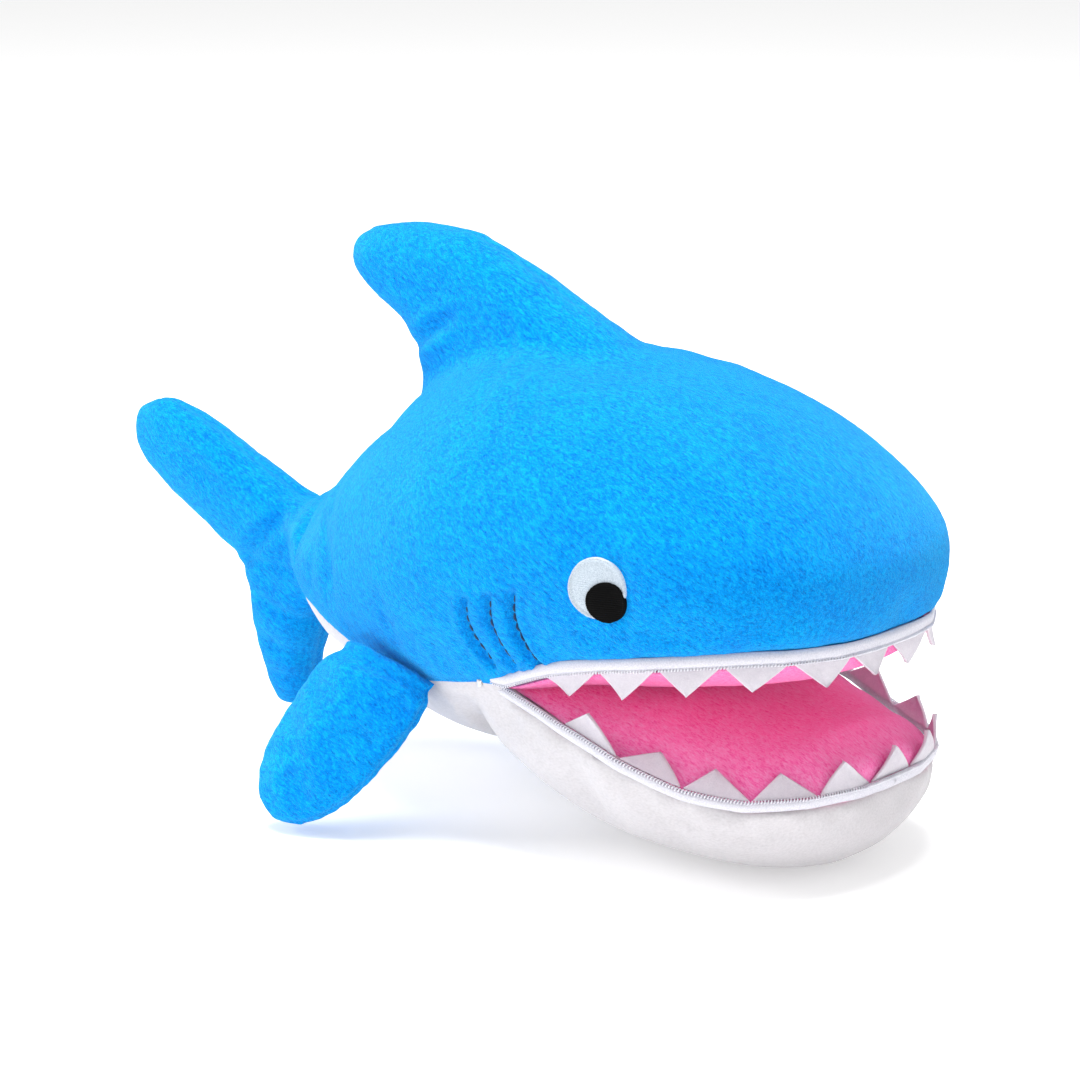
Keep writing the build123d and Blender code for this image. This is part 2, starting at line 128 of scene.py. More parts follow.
# Lower jaw: share of the length, share of half the width, share of the depth.
JAW = [
    (-0.300, 0.74, 0.58),
    (-0.080, 0.86, 0.84),
    (0.000, 0.90, 0.90),
    (0.126, 0.95, 0.97),
    (0.283, 0.99, 1.01),
    (0.472, 1.00, 0.97),
    (0.660, 0.93, 0.90),
    (0.818, 0.80, 0.79),
    (0.931, 0.56, 0.60),
    (0.987, 0.31, 0.34),
    (1.000, 0.03, 0.05),
]


# ---------------------------------------------------------------- meshes
def make_object(name, points, faces):
    mesh = bpy.data.meshes.new(name)
    mesh.from_pydata([tuple(p) for p in points], [], [tuple(f) for f in faces])
    obj = bpy.data.objects.new(name, mesh)
    bpy.context.scene.collection.objects.link(obj)
    return obj


def positions(mesh):
    found = np.empty(len(mesh.vertices) * 3)
    mesh.vertices.foreach_get("co", found)
    return found.reshape(-1, 3)


def normals(mesh):
    found = np.empty(len(mesh.vertices) * 3)
    mesh.vertex_normals.foreach_get("vector", found)
    return found.reshape(-1, 3)


def place_points(mesh, points):
    mesh.vertices.foreach_set("co", points.ravel())
    mesh.update()


def modify(obj, kind, **settings):
    """Applies one modifier to the mesh."""
    modifier = obj.modifiers.new(kind.lower(), kind)
    for name, value in settings.items():
        setattr(modifier, name, value)
    graph = bpy.context.evaluated_depsgraph_get()
    mesh = bpy.data.meshes.new_from_object(obj.evaluated_get(graph))
    obj.modifiers.clear()
    old = obj.data
    obj.data = mesh
    bpy.data.meshes.remove(old)
    return obj


def smooth_rows(rows, count):
    """Rows with more rows between them, on a curve through them all."""
    rows = np.array(rows, float)
    slopes = np.gradient(rows, axis=0)
    wanted = np.linspace(0, len(rows) - 1, count)
    low = np.minimum(wanted.astype(int), len(rows) - 2)
    t = (wanted - low)[:, None]
    a, b, p, q = rows[low], rows[low + 1], slopes[low], slopes[low + 1]
    return (
        (2 * t**3 - 3 * t**2 + 1) * a
        + (t**3 - 2 * t**2 + t) * p
        + (3 * t**2 - 2 * t**3) * b
        + (t**3 - t**2) * q
    )


def loft(name, rings):
    """A mesh through rings of equally many points, with its ends closed to a point."""
    count = len(rings[0])
    points = [p for ring in rings for p in ring]
    faces = []
    for r in range(len(rings) - 1):
        for i in range(count):
            j = (i + 1) % count
            faces.append((r * count + i, r * count + j, (r + 1) * count + j, (r + 1) * count + i))
    for ring, start, turn in ((rings[0], 0, -1), (rings[-1], (len(rings) - 1) * count, 1)):
        middle = len(points)
        points.append(np.mean(np.array(ring), axis=0))
        for i in range(count):
            j = (i + 1) % count
            faces.append((middle, start + i, start + j)[::turn])
    return mend(make_object(name, points, faces))


def mend(obj, merge=0.0):
    """Merges points closer than a distance, drops loose ones and turns every face outwards."""
    work = bmesh.new()
    work.from_mesh(obj.data)
    if merge:
        bmesh.ops.remove_doubles(work, verts=work.verts, dist=merge)
        bmesh.ops.dissolve_degenerate(work, edges=work.edges, dist=1e-6)
    bmesh.ops.delete(work, geom=[v for v in work.verts if not v.link_faces], context="VERTS")
    bmesh.ops.recalc_face_normals(work, faces=work.faces)
    work.to_mesh(obj.data)
    work.free()
    return obj


def oval(centre, side, up, half, rise, drop, count=64):
    """Ring of two half ellipses about a centre."""
    ring = []
    for angle in np.linspace(0, 2 * pi, count, endpoint=False):
        height = rise if sin(angle) > 0 else drop
        ring.append(Vector(centre) + Vector(side) * half * cos(angle) + Vector(up) * height * sin(angle))
    return ring


def join(objects, name):
    """One object out of several meshes."""
    work = bmesh.new()
    for obj in objects:
        work.from_mesh(obj.data)
        bpy.data.objects.remove(obj)
    mesh = bpy.data.meshes.new(name)
    work.to_mesh(mesh)
    work.free()
    made = bpy.data.objects.new(name, mesh)
    bpy.context.scene.collection.objects.link(made)
    return made


def cut_away(obj, tool):
    """Takes the tool's volume out of a closed mesh."""
    modify(obj, "BOOLEAN", operation="DIFFERENCE", object=tool, solver="EXACT")
    bpy.data.objects.remove(tool)
    return obj


def prism(name, outline, half):
    """An outline in the X-Z plane, extruded to both sides."""
    count = len(outline)
    points = [Vector((x, side * half, z)) for side in (-1, 1) for x, z in outline]
    faces = [tuple(range(count)), tuple(range(2 * count - 1, count - 1, -1))]
    for i in range(count):
        j = (i + 1) % count
        faces.append((i, i + count, j + count, j))
    return mend(make_object(name, points, faces))


def distance_along(points, start, way):
    """How far each point lies from a start, measured in one direction."""
    return (points - np.array(start)) @ np.array(way)


# ---------------------------------------------------------------- noise and relief
def speckle(points, size, seed=0.0, stretch=(1, 1, 1)):
    """Smooth noise between -1 and 1 with bumps of about one size."""
    shift = Vector((seed * 7.3, seed * 3.1, seed * 5.7))
    scaled = points / (size * np.array(stretch))
    return np.array([noise.noise(Vector(p) + shift) for p in scaled])


def raise_cloth(obj, heights):
    """Moves every vertex out along its normal."""
    mesh = obj.data
    place_points(mesh, positions(mesh) + normals(mesh) * np.asarray(heights)[:, None])


def pile_relief(obj, share=1.0, seed=0.0):
    """Tufts of short pile over the slow unevenness of the stuffing."""
    points = positions(obj.data)
    height = speckle(points, 2.2 * MM, seed + 3) * 0.10 * MM * share
    height += speckle(points, 5.0 * MM, seed) * 0.10 * MM * share
    height += speckle(points, 16 * MM, seed + 1) * 0.30 * MM
    raise_cloth(obj, height)


def groove(distance, width, depth):
    """Dip along a seam, from each vertex's distance to it."""
    return -depth * np.exp(-((distance / width) ** 2))


def shade_smooth(obj):
    obj.data.polygons.foreach_set("use_smooth", [True] * len(obj.data.polygons))


# ---------------------------------------------------------------- cloth simulation
def puff(obj, pressure, cap, pinned, frames=20, stretch=0.0, stiffness=12.0):
    """Blows a sewn cover up round its stuffing, held at its seams."""
    scene = bpy.context.scene
    start = positions(obj.data)
    group = obj.vertex_groups.new(name="seams")
    group.add([int(i) for i in np.nonzero(pinned)[0]], 1.0, "REPLACE")
    modifier = obj.modifiers.new("puff", "CLOTH")
    cloth = modifier.settings
    cloth.quality = 5
    cloth.mass = 0.3
    cloth.tension_stiffness = stiffness
    cloth.compression_stiffness = stiffness
    cloth.shear_stiffness = stiffness / 2
    cloth.bending_stiffness = 0.6
    cloth.use_pressure = True
    cloth.uniform_pressure_force = pressure
    cloth.shrink_min = -stretch
    cloth.vertex_group_mass = "seams"
    cloth.effector_weights.gravity = 0
    modifier.collision_settings.use_collision = False
    modifier.point_cache.frame_start = 1
    modifier.point_cache.frame_end = frames
    for number in range(1, frames + 1):
        scene.frame_set(number)
    graph = bpy.context.evaluated_depsgraph_get()
    moved = positions(obj.evaluated_get(graph).data) - start
    obj.modifiers.clear()
    obj.vertex_groups.clear()
    scene.frame_set(1)
    length = np.linalg.norm(moved, axis=1, keepdims=True)
    moved *= np.minimum(1, cap / np.maximum(length, 1e-9))
    place_points(obj.data, start + moved)
    return obj


# ---------------------------------------------------------------- shape of the trunk and lips
# Edges of the cloth round the mouth, in mm: ahead of the corner, and above it.
UPPER_EDGE = [
    (0, 0), (10, 2.5), (25, 8.5), (40, 14), (60, 18.5), (90, 23.5), (120, 27.5), (150, 29), (180, 29),
]
LOWER_EDGE = [
    (0, 0), (12, -1), (30, -5), (60, -13.5), (85, -22), (105, -27.5), (125, -30), (150, -30), (180, -29),
]
# Side seam between blue and white behind the mouth, in mm: x and height.
SIDE_SEAM = [(-130, 84), (-90, 80), (-48, 70), (-20, 66), (10, 65), (39, 70), (62, 75)]


def trunk_row(x):
    """Half width, middle, back and belly heights at one station."""
    table = np.array(TRUNK)
    share = (x - rump_x) / (nose_x - rump_x)
    wide, mid, top, low = [np.interp(share, table[:, 0], table[:, k]) for k in range(1, 5)]
    tall = back_z - belly_z
    return wide * half_width, belly_z + mid * tall, belly_z + top * tall, belly_z + low * tall


def trunk_side(x, z):
    """How far the trunk stands out from the middle at one place."""
    half, mid, top, low = trunk_row(x)
    reach = top - mid if z > mid else mid - low
    return half * sqrt(max(1 - ((z - mid) / reach) ** 2, 0))


upper_curve = smooth_rows(UPPER_EDGE, 200) * MM
lower_curve = smooth_rows(LOWER_EDGE, 200) * MM
seam_curve = smooth_rows(SIDE_SEAM, 120) * MM


def trim_share(x):
    """The zip comes out from under the cloth over the first 14 mm."""
    return np.clip((x - corner.x) / (14 * MM), 0, 1)


def upper_edge_z(x):
    return corner.z + np.interp(x - corner.x, upper_curve[:, 0], upper_curve[:, 1])


def upper_lip_z(x):
    return upper_edge_z(x) - UPPER_TRIM * trim_share(x)


def lower_lip_z(x):
    return corner.z + np.interp(x - corner.x, lower_curve[:, 0], lower_curve[:, 1])


def lower_edge_z(x):
    return lower_lip_z(x) - LOWER_TRIM * trim_share(x)


def side_seam_z(x):
    return np.interp(x, seam_curve[:, 0], seam_curve[:, 1])


def jaw_side(x, z):
    """How far the lower jaw stands out from the middle at one place."""
    table = np.array(JAW)
    share = (x - corner.x) / cos(LOWER_LIP) / jaw_length
    half = np.interp(share, table[:, 0], table[:, 1]) * jaw_half
    depth = np.interp(share, table[:, 0], table[:, 2]) * JAW_DEPTH
    above = z - corner.z + (x - corner.x) * tan(LOWER_LIP)
    reach = half / 3 if above > 0 else depth
    return half * sqrt(max(1 - (above / max(reach, 1e-6)) ** 2, 0))


def lip_line(side_of, height_of, reach, inset, start, count):
    """Evenly spaced points round a lip from the right corner by the front to the left one."""
    near = []
    for angle in np.linspace(0, pi / 2, 300):
        x = corner.x + start + (reach - start - inset) * sin(angle)
        near.append((x, side_of(x) - inset))
    near = [p for p in near if p[1] > 0]
    near.append((near[-1][0] + 0.2 * MM, 0.0))
    outline = [(x, -y) for x, y in near] + [(x, y) for x, y in reversed(near[:-1])]
    outline = np.array(outline)
    for _ in range(6):
        outline[1:-1] = (outline[:-2] + 2 * outline[1:-1] + outline[2:]) / 4
    run = np.concatenate([[0], np.cumsum(np.linalg.norm(np.diff(outline, axis=0), axis=1))])
    wanted = np.linspace(0, run[-1], count)
    x = np.interp(wanted, run, outline[:, 0])
    y = np.interp(wanted, run, outline[:, 1])
    return [Vector((a, b, height_of(a))) for a, b in zip(x, y)], run[-1]


def upper_side(x):
    return trunk_side(x, upper_edge_z(x))


def lower_side(x):
    return jaw_side(x, lower_lip_z(x))


def upper_line(inset, lift, start, count):
    """Round the upper lip, a little inside it and above it, with its length."""
    line, length = lip_line(upper_side, upper_lip_z, UPPER_REACH, inset, start, count)
    return [p + Vector((0, 0, lift)) for p in line], length


def lower_line(inset, lift, start, count):
    """Round the lower lip, a little inside it and above it, with its length."""
    line, length = lip_line(lower_side, lower_lip_z, jaw_length * cos(LOWER_LIP), inset, start, count)
    return [p + Vector((0, 0, lift)) for p in line], length


# ---------------------------------------------------------------- materials
def linear(code):
    """Linear colour from an sRGB hex code."""
    parts = [int(code[i : i + 2], 16) / 255 for i in (1, 3, 5)]
    return tuple(c / 12.92 if c <= 0.04045 else ((c + 0.055) / 1.055) ** 2.4 for c in parts) + (1.0,)


class Finish:
    """A material being put together: its node tree and its shader."""

    def __init__(self, name, colour, roughness, **shader):
        self.material = bpy.data.materials.new(name)
        self.material.use_nodes = True
        self.material.diffuse_color = linear(colour)
        self.tree = self.material.node_tree
        self.tree.nodes.clear()
        surface = self.add("ShaderNodeBsdfPrincipled", {"Base Color": linear(colour), "Roughness": roughness})
        self.shader = surface.node
        for socket, value in shader.items():
            self.shader.inputs[socket.replace("_", " ")].default_value = value
        self.add("ShaderNodeOutputMaterial", {"Surface": surface})
        self.place = self.add("ShaderNodeTexCoord", output="Object")

    def add(self, kind, inputs=None, stops=(), output=None, **settings):
        """Adds a node with its settings and links, and gives the socket that leads on from it.

        An input is a value or the socket that feeds it. Stops are the places and colours of a ramp.
        """
        node = self.tree.nodes.new(kind)
        for name, value in settings.items():
            setattr(node, name, value)
        for key, value in (inputs or {}).items():
            socket = next(s for s in node.inputs if s.enabled and s.name == key)
            if isinstance(value, bpy.types.NodeSocket):
                self.tree.links.new(value, socket)
            else:
                socket.default_value = value
        for position, _ in stops[1:-1]:
            node.color_ramp.elements.new(position)
        for i, (position, colour) in enumerate(stops):
            node.color_ramp.elements[i].position = position
            node.color_ramp.elements[i].color = linear(colour)
        leads = [s for s in node.outputs if s.enabled and output in (None, s.name)]
        return leads[0] if leads else None

    def feed(self, socket, source):
        self.tree.links.new(source, self.shader.inputs[socket])

    def grain(self, size, stretch=(1, 1, 1), detail=2.0, rough=0.5, warp=0.0, tilt=0.0):
        """Noise with grains of one size in metres, longer along the stretched axes.

        The axes can tilt about Y, as pile does that is brushed down towards the tail.
        """
        scale = [size * s for s in stretch]
        inputs = {"Vector": self.place, "Rotation": (0, radians(tilt), 0), "Scale": scale}
        place = self.add("ShaderNodeMapping", inputs, vector_type="TEXTURE")
        inputs = {"Vector": place, "Scale": 1.0, "Detail": detail, "Roughness": rough, "Distortion": warp}
        return self.add("ShaderNodeTexNoise", inputs)

    def relief(self, *heights):
        """Patterns standing up one over another, each with its depth in metres."""
        under = {}
        for height, depth in heights:
            inputs = {"Height": height, "Strength": 1.0, "Distance": depth, **under}
            under = {"Normal": self.add("ShaderNodeBump", inputs)}
        self.feed("Normal", under["Normal"])


LOCK = 0.55 * MM        # fibres of the pile lie in locks; one fibre, 0.03 mm, is too fine to show
TUFT = 1.7 * MM         # locks that the brushing has parted from one another
BRUSHED = 28            # degrees below level that the pile is brushed


def plush(name, dark, base, light, sheen, pile=1.0):
    """Short-pile polyester plush, brushed back and down: fine streaks, with painted shade in the partings
    between tufts and painted light on their tops.
    """
    cloth = Finish(
        name,
        base,
        0.95,
        Sheen_Weight=0.7,
        Sheen_Roughness=0.3,
        Sheen_Tint=linear(sheen),
        Specular_IOR_Level=0.05,
    )
    fibres = cloth.grain(LOCK, (3.4, 0.9, 0.9), 3.0, 0.75, 0.2, BRUSHED)
    tufts = cloth.grain(TUFT, (2.2, 0.8, 0.8), 3.0, 0.7, 0.3, BRUSHED)
    drift = cloth.grain(22 * MM, (1.5, 1, 1), 2.0)
    strands = cloth.add("ShaderNodeValToRGB", {"Fac": fibres}, [(0.36, dark), (0.50, base), (0.63, light)])
    # Painted shade and light: the tuft noise darkens the colour in the partings where the bump sinks, and
    # lightens it on the tufts' tops.
    tuft_shade_and_light = cloth.add("ShaderNodeValToRGB", {"Fac": tufts}, [(0.33, dark), (0.47, base), (0.64, light)])
    soft = cloth.add("ShaderNodeValToRGB", {"Fac": drift}, [(0.32, base), (0.70, light)])
    colour = cloth.add("ShaderNodeMix", {"Factor": 0.5, "A": strands, "B": tuft_shade_and_light}, data_type="RGBA")
    colour = cloth.add("ShaderNodeMix", {"Factor": 0.15, "A": colour, "B": soft}, data_type="RGBA")
    cloth.feed("Base Color", colour)
    cloth.relief((tufts, 0.9 * MM * pile), (fibres, 0.7 * MM * pile))
    return cloth.material


def minky(name, dark, base, light):
    """Knitted minky: much shorter pile than plush, so it looks smooth and almost without grain.

    Its fibres are too fine to show, so the nap is drawn as locks of 0.9 mm.
    """
    cloth = Finish(name, base, 0.85, Sheen_Weight=0.3, Sheen_Roughness=0.4)
    nap = cloth.grain(0.9 * MM, (1.8, 1, 1), 3.0, 0.6)
    patches = cloth.grain(18 * MM, (1.6, 1, 1), 2.0)
    shade = cloth.add("ShaderNodeValToRGB", {"Fac": nap}, [(0.3, dark), (0.55, base), (0.8, light)])
    drift = cloth.add("ShaderNodeValToRGB", {"Fac": patches}, [(0.3, base), (0.7, light)])
    colour = cloth.add("ShaderNodeMix", {"Factor": 0.4, "A": shade, "B": drift}, data_type="RGBA")
    cloth.feed("Base Color", colour)
    cloth.relief((nap, 0.22 * MM))
    return cloth.material


def felt(name, base, light):
    """Pressed polyester felt: matted fibres that lie every way and gather in faint clumps of 3 mm."""
    cloth = Finish(name, base, 0.95, Sheen_Weight=0.2, Sheen_Roughness=0.5)
    mat = cloth.grain(0.6 * MM, (1, 1, 1), 4.0, 0.7, 1.2)
    clumps = cloth.grain(3.0 * MM, (1, 1, 1), 2.0)
    shade = cloth.add("ShaderNodeValToRGB", {"Fac": mat}, [(0.3, base), (0.7, light)])
    drift = cloth.add("ShaderNodeValToRGB", {"Fac": clumps}, [(0.3, base), (0.7, light)])
    colour = cloth.add("ShaderNodeMix", {"Factor": 0.3, "A": shade, "B": drift}, data_type="RGBA")
    cloth.feed("Base Color", colour)
    cloth.relief((mat, 0.25 * MM), (clumps, 0.2 * MM))
    return cloth.material


def thread(name, base, light, shine=0.38, gloss=0.5):
    """Twisted embroidery thread: a satin sheen, broken by the 0.35 mm twist of its plies."""
    cloth = Finish(
        name, base, shine, Sheen_Weight=0.15 * gloss, Sheen_Roughness=0.3, Specular_IOR_Level=gloss
    )
    twist = cloth.grain(0.35 * MM)
    cloth.feed("Base Color", cloth.add("ShaderNodeValToRGB", {"Fac": twist}, [(0.3, base), (0.7, light)]))
    cloth.relief((twist, 0.06 * MM))
    return cloth.material


def tape_weave(name, base, light):
    """Woven polyester zip tape: matt, with fine ribs drawn a little coarser than its threads, to show."""
    cloth = Finish(name, base, 0.7, Sheen_Weight=0.2, Sheen_Roughness=0.4)
    ribs = cloth.grain(0.55 * MM)
    cloth.feed("Base Color", cloth.add("ShaderNodeValToRGB", {"Fac": ribs}, [(0.3, base), (0.7, light)]))
    cloth.relief((ribs, 0.12 * MM))
    return cloth.material


def nylon(name, base, light):
    """Drawn nylon filament: smooth and a little waxy, since some light goes in."""
    plastic = Finish(name, base, 0.35, IOR=1.53, Subsurface_Weight=0.1, Subsurface_Radius=(MM, MM, MM))
    tone = plastic.grain(4 * MM)
    plastic.feed("Base Color", plastic.add("ShaderNodeValToRGB", {"Fac": tone}, [(0.3, base), (0.7, light)]))
    return plastic.material


def nickel(name):
    """Nickel plate over die-cast zinc: bright, with a haze from handling."""
    metal = Finish(name, "#C9CACC", 0.28, Metallic=1.0)
    haze = metal.grain(2.5 * MM, (1, 1, 1), 4.0, 0.6)
    metal.feed("Roughness", metal.add("ShaderNodeMapRange", {"Value": haze, "To Min": 0.2, "To Max": 0.42}))
    metal.relief((haze, 0.02 * MM))
    return metal.material


BLUE = plush("plush blue", "#0054B8", "#0089EC", "#10C0FF", "#70D4FF")
WHITE = minky("minky white", "#B4B1B4", "#C4C1C4", "#CFCCCF")
PINK = plush("velour pink", "#EE3E92", "#FF7CBC", "#FFAAD6", "#FF9CCE", 0.5)
FELT_WHITE = felt("felt white", "#C6C0CA", "#DCD7DE")
EYE_THREAD = thread("rayon thread white", "#98A8B8", "#D2DCE4")
PUPIL_THREAD = thread("rayon thread black", "#000000", "#030304", 0.75, 0.1)
GILL_THREAD = thread("polyester thread navy", "#0A2A4A", "#123A62", 0.6)
TAPE = tape_weave("zip tape white", "#C2C1CC", "#DAD9E0")
NYLON = nylon("nylon coil white", "#CFCFD8", "#E0E0E6")
NICKEL = nickel("nickel plated zinc")


def dress(obj, material):
    """Gives a piece its material and smooth shading."""
    obj.data.materials.clear()
    obj.data.materials.append(material)
    shade_smooth(obj)


# ---------------------------------------------------------------- the cover of trunk and jaw
def trunk_volume():
    """The stuffed body from rump to snout, its mouth not yet cut."""
    tall = back_z - belly_z
    rings = []
    for along, wide, mid, top, low in smooth_rows(TRUNK, 66):
        centre = (rump_x + along * (nose_x - rump_x), 0, belly_z + mid * tall)
        rise, drop = (top - mid) * tall, (mid - low) * tall
        rings.append(oval(centre, (0, 1, 0), (0, 0, 1), wide * half_width, rise, drop))
    return loft("trunk", rings)


def mouth_cutter():
    """All below the edge of the blue cloth ahead of the corners, and the throat a little way behind them."""
    throat_x = corner.x - 32 * MM
    outline = [(corner.x - 1 * MM, corner.z + 1 * MM)]
    outline += [(x, upper_edge_z(x)) for x in np.linspace(corner.x + 2 * MM, nose_x + PAST, 60)]
    outline += [(nose_x + PAST, belly_z - 60 * MM), (throat_x, belly_z - 60 * MM)]
    return prism("mouth cutter", outline, 2 * half_width)


def jaw_volume():
    """The stuffed lower jaw, from inside the trunk to its front, cut level with the white cloth's edge."""
    lean = Vector((cos(LOWER_LIP), 0, -sin(LOWER_LIP)))
    up = Vector((sin(LOWER_LIP), 0, cos(LOWER_LIP)))
    rings = []
    for along, wide, deep in smooth_rows(JAW, 50):
        centre = corner + lean * along * jaw_length
        half = max(wide * jaw_half, 1 * MM)
        rings.append(oval(centre, (0, 1, 0), up, half, half / 3, max(deep * JAW_DEPTH, 1 * MM)))
    above = corner.z + 120 * MM
    top = [(corner.x - 90 * MM, above), (corner.x - 60 * MM, corner.z - 12 * MM)]
    top.append((corner.x - 8 * MM, corner.z - 8 * MM))
    top += [(x, lower_edge_z(x)) for x in np.linspace(corner.x + 2 * MM, nose_x + PAST, 60)]
    top.append((nose_x + PAST, above))
    return cut_away(loft("jaw", rings), prism("jaw cutter", top, 2 * half_width))


dorsal_pivot, dorsal_axis = joint_at("dorsal_bend")
dorsal_up = Vector((-dorsal_axis.z, 0, dorsal_axis.x))
# Outlines in the middle plane, in mm. The dorsal fin from its rear root over the tip to its front.
DORSAL = [
    (-36, 176), (-39, 192), (-47, 204), (-64, 216), (-79, 228), (-81, 240), (-70, 249),
    (-41, 254), (-7, 251), (27, 238), (60, 221), (84, 209), (70, 180), (20, 150), (-20, 155),
]
# The tail from the top of its root over the upper lobe and the notch to the lower lobe.
TAIL = [
    (-86, 112), (-104, 113), (-117, 120), (-143, 132), (-168, 144), (-194, 153), (-210, 153),
    (-222, 144), (-224, 132), (-215, 119), (-196, 105), (-170, 90), (-152, 78), (-147, 68),
    (-146, 58), (-143, 41), (-138, 23), (-131, 12), (-121, 10), (-112, 20), (-107, 40),
    (-102, 60), (-92, 76), (-80, 84),
]


def rounded(outline, count=260):
    """The outline as a smooth closed curve, in metres."""
    loop = np.array(outline + outline[:1], float) * MM
    run = np.concatenate([[0], np.cumsum(np.linalg.norm(np.diff(loop, axis=0), axis=1))])
    wanted = np.linspace(0, run[-1], count, endpoint=False)
    curve = np.stack([np.interp(wanted, run, loop[:, k]) for k in (0, 1)], axis=1)
    for _ in range(8):
        curve = (np.roll(curve, 1, axis=0) + 2 * curve + np.roll(curve, -1, axis=0)) / 4
    return curve


def inside(curve, points):
    """Which points lie inside a closed curve."""
    found = np.zeros(len(points), bool)
    after = np.roll(curve, -1, axis=0)
    for (x1, z1), (x2, z2) in zip(curve, after):
        crosses = (z1 > points[:, 1]) != (z2 > points[:, 1])
        if z1 != z2:
            found ^= crosses & (points[:, 0] < (x2 - x1) * (points[:, 1] - z1) / (z2 - z1) + x1)
    return found


def cushion(name, outline, half_at, step=1.5 * MM):
    """Two flat panels sewn round an outline and stuffed: full in the middle, thin at the seam."""
    curve = rounded(outline)
    low, high = curve.min(axis=0), curve.max(axis=0)
    wide, tall = [int(v) + 1 for v in (high - low) / step]
    grid = np.array([(low[0] + i * step, low[1] + k * step) for i in range(wide) for k in range(tall)])
    within = inside(curve, grid)
    gap = np.min(np.linalg.norm(grid[:, None] - curve[None], axis=2), axis=1)
    half = half_at(grid[:, 0], grid[:, 1])
    height = half * np.sqrt(1 - (1 - np.clip(gap / (1.1 * half), 0, 1)) ** 2)
    points = [Vector((x, s * h, z)) for s in (-1, 1) for (x, z), h in zip(grid, height)]
    total = len(grid)
    faces, edges = [], {}
    for i in range(wide - 1):
        for k in range(tall - 1):
            a = i * tall + k
            cell = (a, a + tall, a + tall + 1, a + 1)
            if not all(within[c] for c in cell):
                continue
            faces.append(cell)
            faces.append(tuple(total + c for c in reversed(cell)))
            for one, two in zip(cell, cell[1:] + cell[:1]):
                if not edges.pop((two, one), None):
                    edges[one, two] = True
    for one, two in edges:
        faces.append((two, one, total + one, total + two))
    return mend(make_object(name, points, faces))


def dorsal_volume():
    """Swept-back fin, thick where it leaves the back, with a round tip."""

    def half_at(x, z):
        rise = (x - dorsal_pivot.x) * dorsal_up.x + (z - dorsal_pivot.z) * dorsal_up.z
        return np.interp(rise, np.array([0, 25, 50, 75, 95]) * MM, np.array([26, 20, 15, 12, 9]) * MM)

    return cushion("dorsal", DORSAL, half_at)


def tail_volume():
    """Upper and lower lobe cut as one outline, on a thick root."""

    def half_at(x, z):
        back = tail_pivot.x - x
        upper = np.interp(back, np.array([-20, 10, 50, 90, 125]) * MM, np.array([17, 15, 13, 12, 9]) * MM)
        lower = np.interp(z, np.array([10, 40, 70]) * MM, np.array([9, 12, 20]) * MM)
        return np.minimum(upper, lower)

    return cushion("tail", TAIL, half_at)


def body_cover():
    """Trunk, jaw, dorsal fin and tail as one sewn cover, before it is cut where its colours meet."""
    trunk = cut_away(trunk_volume(), mouth_cutter())
    cover = join([trunk, jaw_volume(), dorsal_volume(), tail_volume()], "cover")
    modify(cover, "REMESH", mode="VOXEL", voxel_size=VOXEL / 2)
    modify(cover, "SMOOTH", factor=0.5, iterations=6)
    modify(cover, "REMESH", mode="VOXEL", voxel_size=VOXEL)
    modify(cover, "SMOOTH", factor=0.5, iterations=2)
    return cover


def seam_distances(points):
    """Distance from each point to the nearest seam of the cover."""
    x, y, z = points.T
    behind = x < corner.x
    side = np.where(behind, np.abs(z - side_seam_z(x)), 1.0)
    upper_gap = np.where(behind, 1.0, np.abs(z - upper_edge_z(x)))
    lower_gap = np.where(behind, 1.0, np.abs(z - lower_edge_z(x)))
    return np.minimum(np.minimum(side, upper_gap), lower_gap)


def stand_on_floor(obj):
    """Presses a cover flat where it stands."""
    points = positions(obj.data)
    points[:, 2] = np.maximum(points[:, 2], 0.0)
    place_points(obj.data, points)


def finish_cover(cover):
    """Puffs the cover, then sinks its seams, folds and gills into it."""
    points = positions(cover.data)
    puff(cover, 3.5, 3.0 * MM, seam_distances(points) < 4 * MM, stretch=0.02)
    modify(cover, "SUBSURF", levels=1)
    stand_on_floor(cover)
    modify(cover, "SUBSURF", levels=1)
    points = positions(cover.data)
    x, y, z = points.T
    seams = seam_distances(points)
    middle = np.where((x < corner.x) | (z > corner.z), np.abs(y), 1.0)
    fins = (x < tail_pivot.x - 6 * MM) | (distance_along(points, dorsal_pivot, dorsal_up) > DORSAL_CUT)
    height = groove(np.where(x < corner.x, seams, 1.0), 2.2 * MM, 1.1 * MM)
    height += groove(np.where(fins, middle, 1.0), 1.8 * MM, 0.9 * MM)
    height += throat_fold(points) + folds(points) + gill_grooves(points)
    raise_cloth(cover, height)
    stand_on_floor(cover)
    return cover


def throat_fold(points):
    """The deep crease under the corners of the mouth, where jaw and belly meet."""
    x, y, z = points.T
    line = corner.x - 6 * MM - (corner.z - z) * 0.52
    below = np.clip((corner.z - 10 * MM - z) / (16 * MM), 0, 1)
    return groove(x - line, 5 * MM, 3.2 * MM) * below


def gill_curve(number, count=24):
    """One gill line, as X-Z points from its foot up: straight above, bent forward at the foot."""
    centre = middle_of("right_gill_stitches")
    found = []
    for t in np.linspace(-0.5, 0.5, count):
        x = centre.x + (1 - number) * 12.3 * MM - (7.2 * t + 4.0 * cos(pi * t) + 1.6) * MM
        z = centre.z + (1 - number) * 3 * MM + (29 * t + 1.5) * MM
        if z > upper_edge_z(x) + 2 * MM:
            found.append((x, z))
    return np.array(found)


def gill_grooves(points):
    """Furrows in the pile where the gill threads are pulled tight."""
    height = np.zeros(len(points))
    near = np.abs(points[:, 1]) > half_width / 2
    for number in range(3):
        curve = gill_curve(number)
        gap = np.min(np.linalg.norm(points[near][:, None, (0, 2)] - curve[None], axis=2), axis=1)
        height[near] += groove(gap, 2.0 * MM, 2.7 * MM) - groove(gap - 4.2 * MM, 2.2 * MM, 0.8 * MM)
    return height


